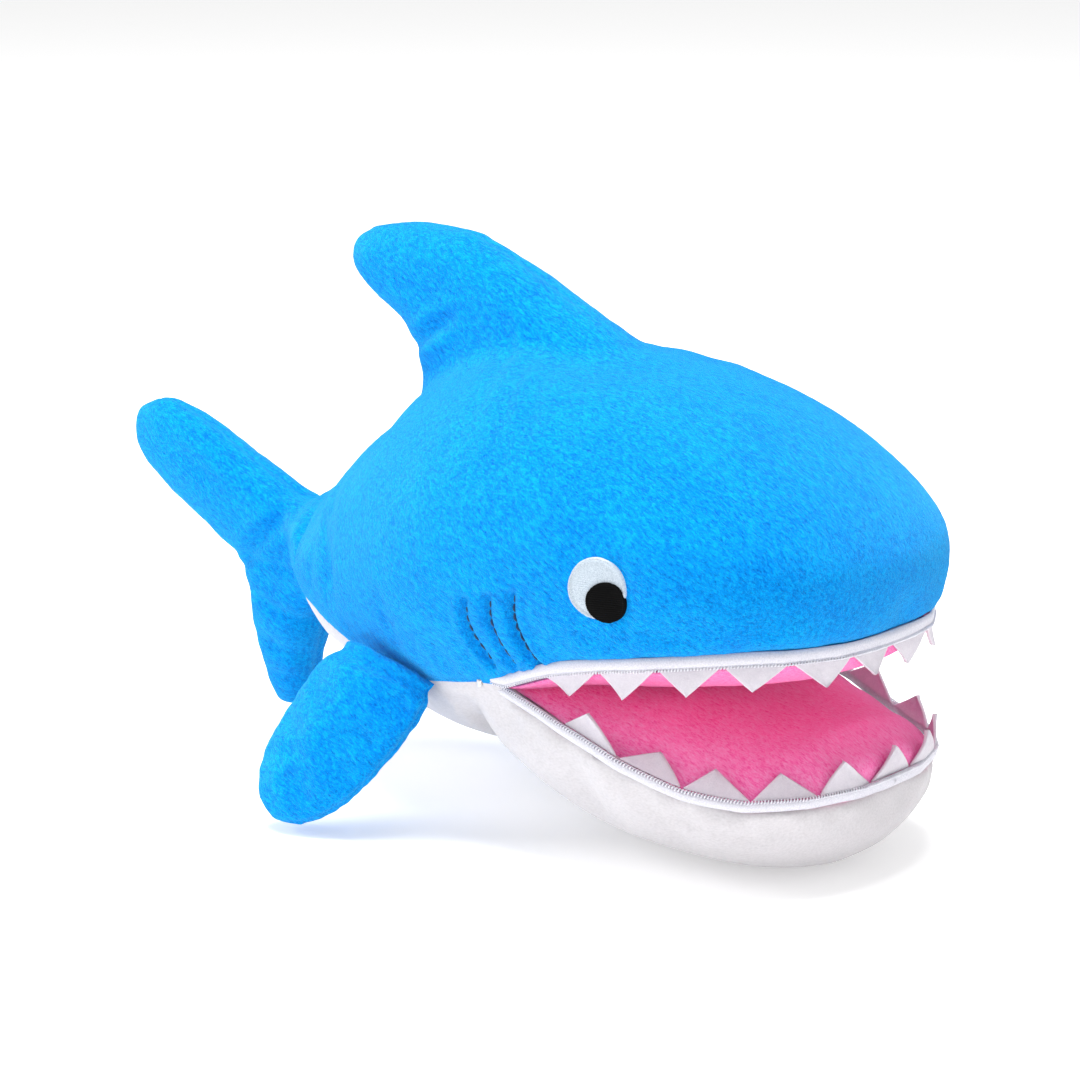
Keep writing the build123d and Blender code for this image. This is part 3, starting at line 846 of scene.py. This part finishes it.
# Folds pulled into the cloth, as X-Z ends in mm, then their half width and depth.
FOLDS = [
    (-34, 197, -8, 213, 3.2, 2.2),
    (-27, 189, -2, 195, 4.6, 1.3),
    (22, 216, 44, 190, 4.0, 0.9),
    (38, 214, 60, 188, 4.0, 1.0),
    (54, 210, 78, 186, 4.0, 0.9),
    (70, 206, 96, 184, 4.5, 0.7),
    (-146, 80, -116, 106, 3.4, 2.4),
    (-134, 66, -106, 58, 3.0, 1.6),
    (-136, 48, -112, 42, 3.0, 1.4),
    (-132, 30, -114, 28, 2.6, 1.0),
    (-92, 118, -88, 88, 3.5, 2.0),
    (-66, 128, -60, 92, 5.0, 0.7),
    (-48, 138, -42, 96, 5.0, 0.6),
    (-190, 132, -160, 118, 4.0, 0.9),
    (150, 34, 176, 30, 2.6, 0.7),
    (166, 27, 194, 27, 2.6, 0.7),
]


def folds(points):
    """Creases with a soft swell on each side, and a little waviness along them."""
    flat = points[:, (0, 2)] + 1.5 * MM * speckle(points, 14 * MM, 8)[:, None]
    height = np.zeros(len(points))
    for x0, z0, x1, z1, width, depth in FOLDS:
        start, end = np.array([x0, z0]) * MM, np.array([x1, z1]) * MM
        run = end - start
        share = np.clip((flat - start) @ run / (run @ run), 0, 1)
        gap = np.linalg.norm(flat - start - share[:, None] * run, axis=1)
        ends = 1 - 0.6 * np.abs(2 * share - 1) ** 2
        height += ends * groove(gap, width * MM, depth * MM)
        height -= ends * groove(gap - 2.2 * width * MM, width * MM, 0.35 * depth * MM)
    return height


def is_white(points):
    """Belly and lower jaw, below the side seams."""
    x, y, z = points.T
    between = (upper_lip_z(x) + lower_lip_z(x)) / 2
    return np.where(x < corner.x, z < side_seam_z(x), z < between)


def corners_of(mesh):
    """Vertex numbers of each face, all of them with four."""
    found = np.empty(len(mesh.loops), int)
    mesh.loops.foreach_get("vertex_index", found)
    return found.reshape(-1, 4)


def straighten_seam(obj):
    """Moves the vertices between blue and white faces onto the seam line."""
    points = positions(obj.data)
    faces = corners_of(obj.data)
    white = is_white(points[faces].mean(axis=1))
    touched = np.zeros(len(points), int)
    np.bitwise_or.at(touched, faces[white].ravel(), 1)
    np.bitwise_or.at(touched, faces[~white].ravel(), 2)
    moved = (touched == 3) & (points[:, 0] < corner.x)
    points[moved, 2] = side_seam_z(points[moved, 0])
    place_points(obj.data, points)
    return white


def piece_of(source, name, mask):
    """Some faces of the cover as a piece of their own, still shaded like the whole."""
    points, directions, faces = positions(source.data), normals(source.data), corners_of(source.data)[mask]
    used, faces = np.unique(faces, return_inverse=True)
    obj = make_object(name, points[used], faces.reshape(-1, 4))
    shade_smooth(obj)
    obj.data.normals_split_custom_set_from_vertices([tuple(n) for n in directions[used]])
    return obj


cover = finish_cover(body_cover())
white = straighten_seam(cover)
whiteness = np.zeros(len(cover.data.vertices))
np.maximum.at(whiteness, corners_of(cover.data)[white].ravel(), 1.0)
pile_relief(cover, 1 - whiteness)
tree = BVHTree.FromObject(cover, bpy.context.evaluated_depsgraph_get())
middles = positions(cover.data)[corners_of(cover.data)].mean(axis=1)
in_tail = middles[:, 0] < tail_pivot.x + 5 * MM
in_dorsal = ~in_tail & (distance_along(middles, dorsal_pivot, dorsal_up) > DORSAL_CUT)
back = piece_of(cover, "plush_back", ~in_tail & ~in_dorsal & ~white)
underside = piece_of(cover, "minky_belly_and_jaw", ~in_tail & white)
dorsal = piece_of(cover, "plush_dorsal_fin", in_dorsal)
tail = piece_of(cover, "plush_tail", in_tail)
bpy.data.objects.remove(cover)
for piece in (back, dorsal, tail):
    dress(piece, BLUE)
dress(underside, WHITE)


# ---------------------------------------------------------------- pectoral fins
FIN_REACH = Vector((-32 * MM, -36 * MM, -66 * MM))
FIN_CHORD = 59 * MM
# Share of the reach, then half the chord as a share of it, and half the thickness in mm.
PADDLE = [
    (-0.06, 0.44, 8.0),
    (0.00, 0.49, 9.5),
    (0.22, 0.52, 10.5),
    (0.45, 0.51, 10.5),
    (0.68, 0.46, 9.5),
    (0.85, 0.36, 8.0),
    (0.95, 0.24, 6.0),
    (1.01, 0.10, 3.5),
    (1.03, 0.03, 1.5),
]


def pectoral(side):
    """A padded paddle of two panels, sewn on at its root, standing on its tip; the left one is mirrored."""
    pivot, axis = joint_at("right_fin_flap")
    along = -axis
    down = (FIN_REACH - along * FIN_REACH.dot(along)).normalized()
    across = along.cross(down)
    rings = []
    for share, half, thick in smooth_rows(PADDLE, 36):
        centre = pivot + FIN_REACH * share
        rings.append(oval(centre, along, across, max(half, 0.02) * FIN_CHORD, thick * MM, thick * MM))
    fin = loft("fin", rings)
    modify(fin, "REMESH", mode="VOXEL", voxel_size=4 * MM)
    modify(fin, "SMOOTH", factor=0.5, iterations=3)
    points = positions(fin.data)
    edge = np.abs(distance_along(points, pivot, across)) < 2.5 * MM
    root = distance_along(points, pivot, down) < 3 * MM
    puff(fin, 4.0, 5 * MM, edge | root, stretch=0.03)
    modify(fin, "SUBSURF", levels=2)
    points = positions(fin.data)
    rim = groove(distance_along(points, pivot, across), 1.8 * MM, 1.5 * MM)
    waist = groove(distance_along(points, pivot, down) - 1 * MM, 4 * MM, 2.5 * MM)
    raise_cloth(fin, rim + waist)
    pile_relief(fin, seed=9)
    stand_on_floor(fin)
    if side > 0:
        fin.data.transform(Matrix.Scale(-1, 4, (0, 1, 0)))
        fin.data.flip_normals()
    dress(fin, BLUE)
    fin.name = "plush_left_fin" if side > 0 else "plush_right_fin"
    return fin


right_fin = pectoral(-1)
left_fin = pectoral(1)


# ---------------------------------------------------------------- mouth linings
def lining(name, line, lift, bulge, crown):
    """A padded lining inside one lip, sewn down at its edge and fullest ahead of the middle."""
    near, _ = line(3.0 * MM, max(lift, -2 * MM), 1 * MM, 240)
    far, _ = line(7.5 * MM, lift, 6 * MM, 240)
    right = [a.lerp(b, min(1, i / 30)) for i, (a, b) in enumerate(zip(near[:120], far))]
    edges = [p for i, p in enumerate(right) if i % 2 == 0 or i == len(right) - 1]
    across = 34
    points = []
    for edge in edges:
        wide = min(1, abs(edge.y) / half_width * 1.6)
        ahead = (edge.x - corner.x) / UPPER_REACH
        fore = 1 - ((ahead - crown) / max(crown, 1 - crown)) ** 2
        for j in range(across):
            v = 2 * j / (across - 1) - 1
            dome = (1 - abs(v) ** 3) * max(fore, 0) ** 0.7 * wide
            points.append(Vector((edge.x, -edge.y * v, edge.z)) + Vector((0, 0, bulge * dome)))
    faces = []
    for i in range(len(edges) - 1):
        for j in range(across - 1):
            a = i * across + j
            faces.append((a, a + 1, a + across + 1, a + across))
    pad = make_object(name, points, faces)
    modify(pad, "SOLIDIFY", thickness=3 * MM, offset=-1 if bulge > 0 else 1)
    mend(pad)
    modify(pad, "SMOOTH", factor=0.5, iterations=4)
    return pad


floor_pad = lining("velour_mouth_floor", lower_line, -6.5 * MM, 21 * MM, 0.70)
palate_pad = lining("velour_palate", upper_line, 1.0 * MM, -15 * MM, 0.55)


def finish_lining(pad, seed):
    """Slow unevenness from the stuffing behind the lining."""
    modify(pad, "SUBSURF", levels=1)
    points = positions(pad.data)
    height = speckle(points, 22 * MM, seed) * 0.7 * MM + speckle(points, 9 * MM, seed + 1) * 0.25 * MM
    raise_cloth(pad, height)
    dress(pad, PINK)


finish_lining(floor_pad, 1)
finish_lining(palate_pad, 2)


def throat():
    """The fold where palate and mouth floor are sewn together, from corner to corner."""
    _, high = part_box("throat_roll")
    rings = []
    for share in np.linspace(-1, 1, 60):
        radius = 4.4 * MM * (1 - 0.5 * abs(share) ** 6)
        centre = corner + Vector((0, share * high.y, 0))
        rings.append(oval(centre, (1, 0, 0), (0, 0, 1), radius, radius, radius, 20))
    roll = loft("velour_throat", rings)
    raise_cloth(roll, speckle(positions(roll.data), 8 * MM, 4) * 0.6 * MM)
    modify(roll, "SUBSURF", levels=1)
    dress(roll, PINK)
    return roll


throat_roll = throat()


# ---------------------------------------------------------------- zip
def strip(name, lines):
    """A band woven between matching lines of points, closed round its section."""
    count = len(lines[0])
    points = [p for line in lines for p in line]
    faces = []
    rows = len(lines)
    for r in range(rows):
        s = (r + 1) % rows
        for i in range(count - 1):
            faces.append((r * count + i, r * count + i + 1, s * count + i + 1, s * count + i))
    faces.append(tuple(r * count for r in range(rows)))
    faces.append(tuple(r * count + count - 1 for r in reversed(range(rows))))
    return mend(make_object(name, points, faces))


def point_on(path, share):
    """The point at a share of the way along a path, and the path's direction there."""
    at = min(max(share, 0), 1) * (len(path) - 1)
    low = min(int(at), len(path) - 2)
    return path[low].lerp(path[low + 1], at - low), (path[low + 1] - path[low]).normalized()


def zip_tape(name, line, way, trim):
    """Tape from under the rolled edge of the cloth down to the coil."""
    top, under, below = COIL * 0.6, COIL + 0.3 * MM, trim + 2.4 * MM
    section = [
        (0.9 * MM, top), (0.0, under), (-0.2 * MM, trim), (1.2 * MM, below),
        (2.6 * MM, below), (2.6 * MM, trim), (2.6 * MM, under), (2.6 * MM, top),
    ]
    band = strip(name, [line(inset, way * height, 5 * MM, 500)[0] for inset, height in section])
    raise_cloth(band, speckle(positions(band.data), 14 * MM, 6) * 0.25 * MM)
    dress(band, TAPE)
    return band


def coil(name, line, way):
    """Nylon filament wound round the free edge of the tape."""
    centre, length = line(1.1 * MM, way * COIL * 0.5, 5 * MM, 1400)
    per_turn = 9
    steps = int(length / COIL_PITCH) * per_turn
    path = []
    for i in range(steps):
        point, run = point_on(centre, i / (steps - 1))
        out = run.cross(Vector((0, 0, 1))).normalized()
        angle = 2 * pi * i / per_turn
        path.append(point + out * cos(angle) * 0.85 * MM + Vector((0, 0, sin(angle) * 0.62 * MM)))
    return tube(name, path, 0.33 * MM, 5, NYLON)


def tube(name, path, radius, sides, material):
    """A round thread along a path."""
    rings = []
    for i, point in enumerate(path):
        ahead = path[min(i + 1, len(path) - 1)]
        behind = path[max(i - 1, 0)]
        run = (ahead - behind).normalized()
        side = run.orthogonal().normalized() if i == 0 else (side - run * side.dot(run)).normalized()
        up = run.cross(side)
        rings.append(oval(point, side, up, radius, radius, radius, sides))
    made = loft(name, rings)
    dress(made, material)
    return made


upper_tape = zip_tape("upper_tape", upper_line, 1, UPPER_TRIM)
lower_tape = zip_tape("lower_tape", lower_line, -1, LOWER_TRIM)
upper_coil = coil("upper_coil", upper_line, 1)
lower_coil = coil("lower_coil", lower_line, -1)


# ---------------------------------------------------------------- teeth
def tooth_row(name, line, way, leans, start, seed):
    """Felt triangles cut from one strip, each a little bent and turned its own way."""
    rng = np.random.default_rng(seed)
    path, length = line(3.6 * MM, way * 1.0 * MM, start, 900)
    count = round(length / TOOTH_PITCH)
    columns, rows = 14, 9
    teeth = []
    for number in range(count):
        middle = (number + 0.5) / count
        tilt = radians(leans[min(number, len(leans) - 1)] + rng.uniform(-6, 6))
        tall = TOOTH_HEIGHT * rng.uniform(0.90, 1.06) * (0.85 if number == 0 else 1)
        skew = rng.uniform(-0.08, 0.08)
        curl = rng.uniform(-1.2, 1.2) * MM
        grid = []
        for r in range(rows + 1):
            up = r / rows
            wide = (1 - up) ** 0.97
            row = []
            for c in range(columns + 1):
                u = 2 * c / columns - 1
                point, run = point_on(path, middle + (u * wide * 0.5 + skew * up) / count)
                out = run.cross(Vector((0, 0, 1))).normalized()
                flare = sin(tilt) * tall * up + curl * sin(pi * up) + 0.5 * MM * sin(3 * u + number) * up
                row.append((point + out * flare - Vector((0, 0, way * tall * up * cos(tilt))), out))
            grid.append(row)
        teeth.append(felt_sheet(grid))
    felt_row = mend(join(teeth, name))
    modify(felt_row, "SUBSURF", levels=1)
    raise_cloth(felt_row, speckle(positions(felt_row.data), 2.0 * MM, seed) * 0.07 * MM)
    dress(felt_row, FELT_WHITE)
    return felt_row


def felt_sheet(grid):
    """A closed sheet of felt thickness on a grid of (point, outward direction)."""
    rows, columns = len(grid), len(grid[0])
    points = []
    for side in (1, -1):
        for row in grid:
            for point, out in row:
                points.append(point + out * side * FELT / 2)
    faces = []
    top = rows * columns
    for r in range(rows - 1):
        for c in range(columns - 1):
            a = r * columns + c
            faces.append((a, a + 1, a + columns + 1, a + columns))
            faces.append((top + a, top + a + columns, top + a + columns + 1, top + a + 1))
    border = [(r, 0) for r in range(rows)]
    border += [(rows - 1, c) for c in range(1, columns)]
    border += [(r, columns - 1) for r in range(rows - 2, -1, -1)]
    border += [(0, c) for c in range(columns - 2, 0, -1)]
    ring = [r * columns + c for r, c in border]
    for i in range(len(ring)):
        a, b = ring[i], ring[(i + 1) % len(ring)]
        faces.append((a, top + a, top + b, b))
    return mend(make_object("tooth", points, faces), merge=0.02 * MM)


upper_teeth = tooth_row("upper_teeth_felt", upper_line, 1, (6, 4), 34 * MM, 11)
lower_teeth = tooth_row("lower_teeth_felt", lower_line, -1, (2, -48, -52, -30, -6, 2, 8), 44 * MM, 12)


# ---------------------------------------------------------------- eyes and gills
def on_cloth(x, z, side):
    """The cloth's surface and normal, looked for straight in from one side.

    A ray that meets an edge can miss it, so it is tried again a hair's breadth away.
    """
    for nudge in (0, 0.03 * MM, -0.03 * MM, 0.07 * MM):
        hit, normal, _, _ = tree.ray_cast(Vector((x + nudge, side * 0.3, z + nudge)), Vector((0, -side, 0)))
        if hit is not None:
            return hit, normal
    raise ValueError(f"no cloth at {x}, {z}")


def embroidery(name, centre, half, side, height, rim, material):
    """Satin stitch over padding: threads side by side across an oval, and a raised border of stitches."""
    rings, spokes = 34, 220
    points = []
    for r in range(rings + 1):
        share = r / rings
        for s in range(spokes):
            angle = 2 * pi * s / spokes
            x = centre.x + half[0] * share * cos(angle)
            z = centre.z + half[1] * share * sin(angle)
            hit, normal = on_cloth(x, z, side)
            threads = 0.10 * MM * cos(pi * (z - centre.z) / THREAD)
            fill = height * (0.75 + 0.25 * (1 - share**2)) + threads
            border = rim * np.exp(-(((share - 0.93) / 0.055) ** 2)) * (1 + 0.18 * cos(angle * 110))
            lift = fill + border if share < 0.985 else -0.8 * MM
            points.append(hit + normal * lift)
    faces = []
    for r in range(rings):
        for s in range(spokes):
            t = (s + 1) % spokes
            faces.append((r * spokes + s, r * spokes + t, (r + 1) * spokes + t, (r + 1) * spokes + s))
    patch = mend(make_object(name, points, faces), merge=0.01 * MM)
    if sum(n[1] for n in normals(patch.data)) * side < 0:
        patch.data.flip_normals()
    dress(patch, material)
    return patch


def gill_lines(name, side):
    """Navy thread pulled tight into the pile, in stitches that come and go."""
    solids = []
    for number in range(3):
        path = []
        for k, (x, z) in enumerate(gill_curve(number, 60)):
            hit, normal = on_cloth(x, z, side)
            loop = abs(sin(pi * k / 60 * 7 + number)) * sin(pi * (k + 1) / 62) ** 0.5
            path.append(hit + normal * (1.25 * loop - 0.75 - 0.15 * number) * MM)
        solids.append(tube("stitch", path, STITCH, 8, GILL_THREAD))
    threads = join(solids, name)
    dress(threads, GILL_THREAD)
    return threads


eyes = {}
eye_centre = middle_of("right_eye_white")
pupil_centre = middle_of("right_pupil") + Vector((0.2 * MM, 0, 0.2 * MM))
for side, word in ((-1, "right"), (1, "left")):
    eyes[word, "white"] = embroidery(
        f"{word}_eye_embroidery", eye_centre, EYE, side, 0.8 * MM, EYE_BORDER, EYE_THREAD
    )
    name = f"{word}_pupil_embroidery"
    eyes[word, "pupil"] = embroidery(
        name, pupil_centre, PUPIL, side, 1.9 * MM, 0.2 * MM, PUPIL_THREAD
    )
    eyes[word, "gills"] = gill_lines(f"{word}_gill_threads", side)


# ---------------------------------------------------------------- metal of the zip
for node in ("zip_slider", "zip_pull_tab"):
    solid = frame["nodes"][node]
    solid.data.materials.clear()
    solid.data.materials.append(NICKEL)


def end_stop():
    """Crimped end of the zip, pressed into the pile behind the right corner of the mouth."""
    middle = middle_of("zip_end_stop")
    hit, normal = on_cloth(middle.x + 3 * MM, middle.z - 0.5 * MM, -1)
    rings = []
    for share in np.linspace(-1, 1, 22):
        waist = 1 - 0.22 * np.exp(-((share / 0.3) ** 2))
        end = sqrt(max(1 - abs(share) ** 5, 0.02))
        centre = hit + normal * 0.3 * MM + Vector((0, 0, share * 1.9 * MM))
        thick = 1.2 * MM * end
        rings.append(oval(centre, (1, 0, 0), normal, 1.5 * MM * waist * end, thick, thick, 18))
    stop = loft("zip_stop", rings)
    dress(stop, NICKEL)
    return stop


zip_stop = end_stop()


# ---------------------------------------------------------------- what moves with what
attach(back, "trunk")
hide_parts("right_back_panel", "left_back_panel", "body_stuffing")
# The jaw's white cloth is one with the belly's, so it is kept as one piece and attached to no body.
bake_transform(underside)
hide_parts("belly_panel", "jaw_panel", "jaw_stuffing")
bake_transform(dorsal)
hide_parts("dorsal_right_panel", "dorsal_left_panel", "dorsal_stuffing")
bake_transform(tail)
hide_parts("tail_right_panel", "tail_left_panel", "tail_stuffing")
for fin, word in ((right_fin, "right"), (left_fin, "left")):
    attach(fin, f"{word}_fin")
    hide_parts(f"{word}_fin_outer_panel", f"{word}_fin_inner_panel", f"{word}_fin_stuffing")
    for piece, node in (("white", "eye_white"), ("pupil", "pupil"), ("gills", "gill_stitches")):
        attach(eyes[word, piece], "trunk")
        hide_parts(f"{word}_{node}")
for piece, node, body in (
    (zip_stop, "zip_end_stop", "trunk"),
    (throat_roll, "throat_roll", "trunk"),
    (palate_pad, "palate_lining", "trunk"),
    (upper_tape, "upper_zip_tape", "trunk"),
    (upper_coil, "upper_zip_coil", "trunk"),
    (upper_teeth, "upper_teeth", "trunk"),
    (floor_pad, "mouth_floor_lining", "lower_jaw"),
    (lower_tape, "lower_zip_tape", "lower_jaw"),
    (lower_coil, "lower_zip_coil", "lower_jaw"),
    (lower_teeth, "lower_teeth", "lower_jaw"),
):
    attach(piece, body)
    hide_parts(node)
# Linings and teeth each get a mesh of their own.
for piece in (floor_pad, lower_teeth):
    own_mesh(piece)
for piece in (palate_pad, upper_teeth):
    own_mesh(piece)


# ---------------------------------------------------------------- room, light and camera
def studio():
    """White paper under large soft lamps, in a white room."""
    size = 6.0
    floor = make_object(
        "floor", [(-size, -size, 0), (size, -size, 0), (size, size, 0), (-size, size, 0)], [(0, 1, 2, 3)]
    )
    paper = Finish("backdrop paper", "#F4F4F4", 0.9, Emission_Color=linear("#FFFFFF"), Emission_Strength=0.3)
    floor.data.materials.append(paper.material)
    world = bpy.data.worlds.new("studio")
    bpy.context.scene.world = world
    world.use_nodes = True
    background = world.node_tree.nodes["Background"]
    background.inputs["Color"].default_value = linear("#FFFFFF")
    background.inputs["Strength"].default_value = 0.6
    for name, place, power, width in (
        ("key", (-1.9, -1.2, 1.2), 25, 1.0),
        ("top", (-0.2, 0.0, 2.3), 72, 1.2),
        ("fill", (1.7, -1.2, 0.35), 6, 1.0),
    ):
        lamp = bpy.data.lights.new(name, "AREA")
        lamp.energy = power
        lamp.size = width
        obj = bpy.data.objects.new(name, lamp)
        obj.location = place
        obj.rotation_euler = (Vector((0, 0, 0.1)) - Vector(place)).to_track_quat("-Z", "Y").to_euler()
        bpy.context.scene.collection.objects.link(obj)


def camera():
    """Looks at the right side from ahead and a little above."""
    azimuth, elevation, distance = radians(38), radians(14), 1500 * MM
    back_way = Vector((sin(azimuth) * cos(elevation), -cos(azimuth) * cos(elevation), sin(elevation)))
    right_way = Vector((cos(azimuth), sin(azimuth), 0))
    up_way = back_way.cross(right_way)
    focus = Vector((corner.x, 0, 110 * MM))
    aim = focus - right_way * 27.8 * MM + up_way * 10.4 * MM
    lens = bpy.data.cameras.new("camera")
    lens.sensor_width = 36
    lens.lens = 115
    obj = bpy.data.objects.new("camera", lens)
    obj.location = focus + back_way * distance
    obj.rotation_euler = (aim - obj.location).to_track_quat("-Z", "Y").to_euler()
    bpy.context.scene.collection.objects.link(obj)
    bpy.context.scene.camera = obj


studio()
camera()
bpy.context.scene.view_settings.view_transform = "Standard"
